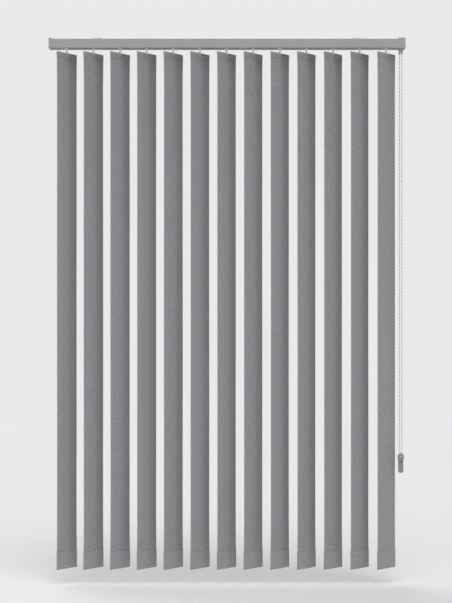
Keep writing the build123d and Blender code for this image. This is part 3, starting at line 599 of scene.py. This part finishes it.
def make_louvre_cloth(name, centre, across, facing, top, bottom, seed):
    """Point = centre + u x spread x across + (offset + bow) x facing + height.

    Bow = a parabola over the width + a sum of slow waves, both eased in from nothing at the
    seams over 80 mm. Returns the piece and the length of its cut."""
    path = louvre_path(top, bottom)
    u = np.linspace(-LOUVRE_WIDTH / 2, LOUVRE_WIDTH / 2, COLUMNS)
    rng = np.random.default_rng(seed)
    share = (path[:, 1] - bottom) / (top - bottom)
    hold = (np.clip((top - TOP_HEM - path[:, 1]) / HELD_RUN, 0, 1)
            * np.clip((path[:, 1] - bottom - BOTTOM_HEM) / HELD_RUN, 0, 1))
    hold = hold * hold * (3 - 2 * hold)
    waves = np.zeros((len(path), len(u)))
    for k in range(1, WAVES + 1):
        phase, lean = rng.uniform(0, 2 * math.pi, 2)
        wave = np.sin(2 * math.pi * k * share + phase)[:, None]
        waves += wave * np.cos(math.pi * k * (u / LOUVRE_WIDTH) + lean)[None, :] / k
    cup = (1 - (2 * u / LOUVRE_WIDTH) ** 2)[None, :]
    bow = hold[:, None] * (WAVE_DEPTH * waves + CUP_DEPTH * cup)
    offset = path[:, 0][:, None] + bow
    spread = 1 + (1 - hold[:, None, None]) * 2 * HEM_SPREAD / LOUVRE_WIDTH
    points = (centre + u[None, :, None] * spread * across + offset[..., None] * facing
              + path[:, 1][:, None, None] * UP)
    uv = np.stack(np.broadcast_arrays(u[None, :] + PATTERN_SHIFT * seed, path[:, 2][:, None]),
                  axis=-1)
    piece = grid_mesh(name, points, uv)
    weld = piece.data.attributes.new("weld", "FLOAT", "POINT")
    weld.data.foreach_set("value", np.repeat(path[:, 3], len(u)).astype(np.float32))
    piece.data.materials.append(cloth)
    wall = piece.modifiers.new("cloth thickness", "SOLIDIFY")
    wall.thickness = CLOTH_THICKNESS
    wall.offset = 0
    return piece, path[-1, 2]


# %% [markdown]
# The hanger and the weight are stiff plates that fill the hems. Only their ends show, set
# back a few millimetres in the open side of each hem, but without them the hems would look
# hollow. A plate is a rounded rectangle, drawn once as an outline and given its thickness.

# %% Hem plates
PLATE_CORNER, PLATE_INNER = 2 * MM, 0.9
CORNER_POINTS = 5
plate_plastic = moulded("clear hem plate", (0.62, 0.62, 0.62), roughness=0.35, grain=1500,
                        relief=0.01 * MM, unevenness=0.05)


def make_plate(name, centre, across, facing, half_width, low, high, thickness):
    """Outline = a rectangle with quarter-circle corners. Four rings, an inner and an outer
    one on each side, are joined to each other, and each inner ring to its middle."""
    arc = np.linspace(0, math.pi / 2, CORNER_POINTS)
    cx, cz = half_width - PLATE_CORNER, (high - low) / 2 - PLATE_CORNER
    quarter = np.stack([np.cos(arc), np.sin(arc)], axis=1) * PLATE_CORNER
    turns = [np.array([[1, 0], [0, 1]]), np.array([[0, 1], [-1, 0]]),
             np.array([[-1, 0], [0, -1]]), np.array([[0, -1], [1, 0]])]
    corners = [(cx, cz), (-cx, cz), (-cx, -cz), (cx, -cz)]
    outline = np.concatenate([quarter @ turn + corner for turn, corner in zip(turns, corners)])
    ring = centre + outline[:, :1] * across + (outline[:, 1:] + (low + high) / 2) * UP
    outer = np.stack([ring + side * thickness / 2 * facing for side in (-1, 1)])
    middles = outer.mean(axis=1, keepdims=True)
    inner = middles + PLATE_INNER * (outer - middles)
    rings = np.concatenate([inner[:1], outer, inner[1:]])
    verts = np.concatenate([rings.reshape(-1, 3), middles[:, 0]])
    count = len(outline)
    k = np.arange(count)
    n = (k + 1) % count
    back = np.stack([n, k, np.full(count, 4 * count)], axis=1)
    front = np.stack([3 * count + k, 3 * count + n, np.full(count, 4 * count + 1)], axis=1)
    faces = grid_quads(4, count, closed=True).tolist() + back.tolist() + front.tolist()
    mesh = bpy.data.meshes.new(name)
    mesh.from_pydata(verts.tolist(), [], faces)
    mesh.materials.append(plate_plastic)
    piece = bpy.data.objects.new(name, mesh)
    bpy.context.scene.collection.objects.link(piece)
    return piece


# %% [markdown]
# Now the pieces come together, louvre by louvre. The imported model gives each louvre's place
# and height. Its tilt grows a little from the chain's end to the far end, because the rod
# that turns the hooks twists by a few degrees over its length. Cloth and plates ride the
# same body as their hook, so they turn and slide with it.

# %% Thirteen louvres
FIRST_TILT, LAST_TILT = 55.8, 50.2
HANGER_HALF_WIDTH, HANGER_THICKNESS = 41.5 * MM, 0.8 * MM
HANGER_DOWN_TO, HANGER_UP_TO = 13 * MM, 1 * MM  # below the top edge
WEIGHT_HALF_WIDTH, WEIGHT_THICKNESS = 42.5 * MM, 1.2 * MM
WEIGHT_DOWN_TO, WEIGHT_UP_TO = 1.3 * MM, 47 * MM  # above the bottom edge


def turned(index):
    """Directions of a louvre: across its width, and out of its room side.

    Tilt = the first one + the louvre's share of the row x the step to the last one."""
    share = index / (len(LOUVRES) - 1)
    tilt = math.radians(FIRST_TILT + share * (LAST_TILT - FIRST_TILT))
    across = np.array([math.cos(tilt), math.sin(tilt), 0.0])
    return across, np.cross(across, UP)


for index, node_name in enumerate(LOUVRES):
    low, high = (np.array(corner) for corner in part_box(node_name))
    centre = np.array([(low[0] + high[0]) / 2, (low[1] + high[1]) / 2, 0.0])
    number = node_name[-2:]
    body = f"vane_{number}"
    across, facing = turned(index)
    strip, cut_length = make_louvre_cloth(f"cloth_{number}", centre, across, facing, high[2],
                                          low[2], index + 1)
    hanger = make_plate(f"hanger_{number}", centre, across, facing, HANGER_HALF_WIDTH,
                        high[2] - HANGER_DOWN_TO, high[2] - HANGER_UP_TO, HANGER_THICKNESS)
    weight = make_plate(f"bottom_weight_{number}", centre, across, facing, WEIGHT_HALF_WIDTH,
                        low[2] + WEIGHT_DOWN_TO, low[2] + WEIGHT_UP_TO, WEIGHT_THICKNESS)
    for piece, slot in ((strip, "fabric"), (hanger, "carrier_plastic"),
                        (weight, "carrier_plastic")):
        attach(piece, body)
    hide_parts(node_name)
print("cut length of one louvre", round(float(cut_length), 4), "m")

# %% [markdown]
# ## The bead chain
#
# The control is a loop of beads moulded on a thin cord. Its line leaves the guide under the
# right cap, runs straight down, turns round the pin in the weight and comes back. The route
# is a NURBS spline with few control points: two in each straight part, and the corners of
# half an octagon for the turn. A quadratic spline touches the middle of each edge between
# its control points, so it stays close to the circle inside the octagon.

# %% Chain route
CHAIN_X, CHAIN_HALF = 508.6 * MM, 3.4 * MM
GUIDE_END, PIN_HEIGHT = -46.3 * MM, -1224.5 * MM
STRAIGHT_POINTS = (-0.30, -0.76)
CORD_RADIUS = 0.65 * MM


def make_route(name, points, radius):
    """A curve object with one open quadratic NURBS spline, thickened to a round cord.

    Returns it with the points of its middle line, read before it gets its thickness."""
    curve = bpy.data.curves.new(name, "CURVE")
    curve.dimensions = "3D"
    curve.resolution_u = 12
    spline = curve.splines.new("NURBS")
    spline.points.add(len(points) - 1)
    for place, point in zip(spline.points, points):
        place.co = (*point, 1.0)
    spline.order_u = 3
    spline.use_endpoint_u = True
    route = bpy.data.objects.new(name, curve)
    bpy.context.scene.collection.objects.link(route)
    bpy.context.view_layer.update()
    line = bpy.data.meshes.new_from_object(route)
    path = np.empty(len(line.vertices) * 3, dtype=np.float32)
    line.vertices.foreach_get("co", path)
    bpy.data.meshes.remove(line)
    curve.bevel_depth = radius
    curve.bevel_resolution = 2
    curve.use_fill_caps = True
    return route, path.reshape(-1, 3).astype(float)


def half_round(x, height, radius, side):
    """Control points of half a circle from right to left: the corners of half an octagon.

    Its edges touch the circle, so a short step is the radius times the tangent of 22.5
    degrees. side is 1 for a turn over the top and -1 for one round the bottom."""
    short = radius * math.tan(math.pi / 8)
    corners = [(radius, -short), (radius, short), (short, radius),
               (-short, radius), (-radius, short), (-radius, -short)]
    return [(x + a, 0, height + side * b) for a, b in corners]


right, left = CHAIN_X + CHAIN_HALF, CHAIN_X - CHAIN_HALF
hanging_points = [(right, 0, GUIDE_END), *((right, 0, z) for z in STRAIGHT_POINTS),
                  *half_round(CHAIN_X, PIN_HEIGHT, CHAIN_HALF, -1),
                  *((left, 0, z) for z in reversed(STRAIGHT_POINTS)), (left, 0, GUIDE_END)]
hanging_cord, hanging_path = make_route("chain_cord", hanging_points, CORD_RADIUS)
hanging_cord.data.materials.append(finishes["chain_plastic"])

# %% [markdown]
# The beads sit along the route every 10 mm. A bead is a barrel: a profile turned round the
# cord, with a flattened middle and a short collar at each end. One is left out where the
# connector clips the loop together. The first bead of each part is set a little in, so that
# the two strands don't have their beads side by side.

# %% Beads along a route
BEAD_PITCH = 10 * MM
BEAD_PROFILE = np.array([[-2.1, 0.6], [-1.9, 1.15], [-1.35, 1.75], [-0.5, 2.0], [0.5, 2.0],
                         [1.35, 1.75], [1.9, 1.15], [2.1, 0.6]]) * MM
BEAD_SIDES = 10
HANGING_START, UPPER_START = 6.2 * MM, 6.3 * MM
CONNECTOR_REACH = 6 * MM
NEARBY = 0.1 * MM
DEPTH = np.array([0, 1.0, 0])


def make_beads(name, path, start, skip=None):
    """Turns the bead's profile round the route at every pitch.

    Profile = radius against distance along the cord. Each bead's frame is the route's
    tangent, the Y axis, and the cross product of the two. Beads near skip are left out."""
    run = np.concatenate([[0], np.cumsum(np.linalg.norm(np.diff(path, axis=0), axis=1))])
    places = np.arange(start, run[-1] - LEAST_STEP, BEAD_PITCH)

    def on_route(distance):
        return np.stack([np.interp(distance, run, path[:, i]) for i in range(3)], axis=1)

    if skip is not None:
        places = places[np.linalg.norm(on_route(places) - skip, axis=1) > CONNECTOR_REACH]
    centre = on_route(places)
    along = on_route(places + NEARBY) - on_route(places - NEARBY)
    along /= np.linalg.norm(along, axis=1, keepdims=True)
    side = np.cross(along, DEPTH)
    side /= np.linalg.norm(side, axis=1, keepdims=True)
    around = np.linspace(0, 2 * math.pi, BEAD_SIDES + 1)[:-1]
    radial = (np.cos(around)[None, :, None] * side[:, None, :]
              + np.sin(around)[None, :, None] * DEPTH)
    points = (centre[:, None, None, :]
              + BEAD_PROFILE[None, :, None, :1] * along[:, None, None, :]
              + BEAD_PROFILE[None, :, None, 1:] * radial[:, None, :, :])
    one = grid_quads(len(BEAD_PROFILE), BEAD_SIDES, closed=True)
    first = np.arange(len(places)) * len(BEAD_PROFILE) * BEAD_SIDES
    quads = (first[:, None, None] + one[None]).reshape(-1, 4)
    beads = mesh_from(name, points.reshape(-1, 3), quads)
    beads.data.materials.append(finishes["chain_plastic"])
    return beads, len(places)


connector_middle = np.mean(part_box("chain_connector"), axis=0)
beads, bead_total = make_beads("chain_beads", hanging_path, HANGING_START, connector_middle)
print("hanging beads", bead_total)

# %% [markdown]
# The rest of the loop climbs through the guide, spreads to the width of the chain wheel and
# goes over it inside the housing. Little of it shows, but from below the beads can be seen
# to go into the guide, so it is made in the same way.

# %% Chain over the wheel
WHEEL_HEIGHT, WHEEL_RADIUS, GUIDE_MIDDLE = -20 * MM, 7.96 * MM, -36.8 * MM
upper_points = [(right, 0, GUIDE_END), (right, 0, GUIDE_MIDDLE),
                *half_round(CHAIN_X, WHEEL_HEIGHT, WHEEL_RADIUS, 1),
                (left, 0, GUIDE_MIDDLE), (left, 0, GUIDE_END)]
upper_cord, upper_path = make_route("chain_over_wheel", upper_points, CORD_RADIUS)
upper_cord.data.materials.append(finishes["chain_plastic"])
upper_beads, upper_total = make_beads("beads_over_wheel", upper_path, UPPER_START)
for piece in (hanging_cord, beads, upper_cord, upper_beads):
    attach(piece, "headrail")
    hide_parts("control_chain")
print("beads in all", bead_total + upper_total)

# %% [markdown]
# ## The floor
#
# A plain pale floor lies just under the louvres. Under these lamps its colour comes out like
# the background, so the two meet without an edge, and it keeps the blind's soft shadow.

# %% Floor
FLOOR_HEIGHT, FLOOR_HALF, FLOOR_LINES = -1.60, 10, 9
floor_line = np.linspace(-FLOOR_HALF, FLOOR_HALF, FLOOR_LINES)
floor_u, floor_v = np.meshgrid(floor_line, floor_line)
floor_points = np.stack([floor_u, floor_v, np.full_like(floor_u, FLOOR_HEIGHT)], axis=-1)
floor = grid_mesh("floor", floor_points)
floor_paint, tree, shader = new_material("pale floor")
shader.inputs["Base Color"].default_value = (0.715, 0.72, 0.727, 1)
shader.inputs["Roughness"].default_value = 0.9
shader.inputs["Specular IOR Level"].default_value = 0.1
floor.data.materials.append(floor_paint)
print("floor", 2 * FLOOR_HALF, "m wide, top at", FLOOR_HEIGHT)
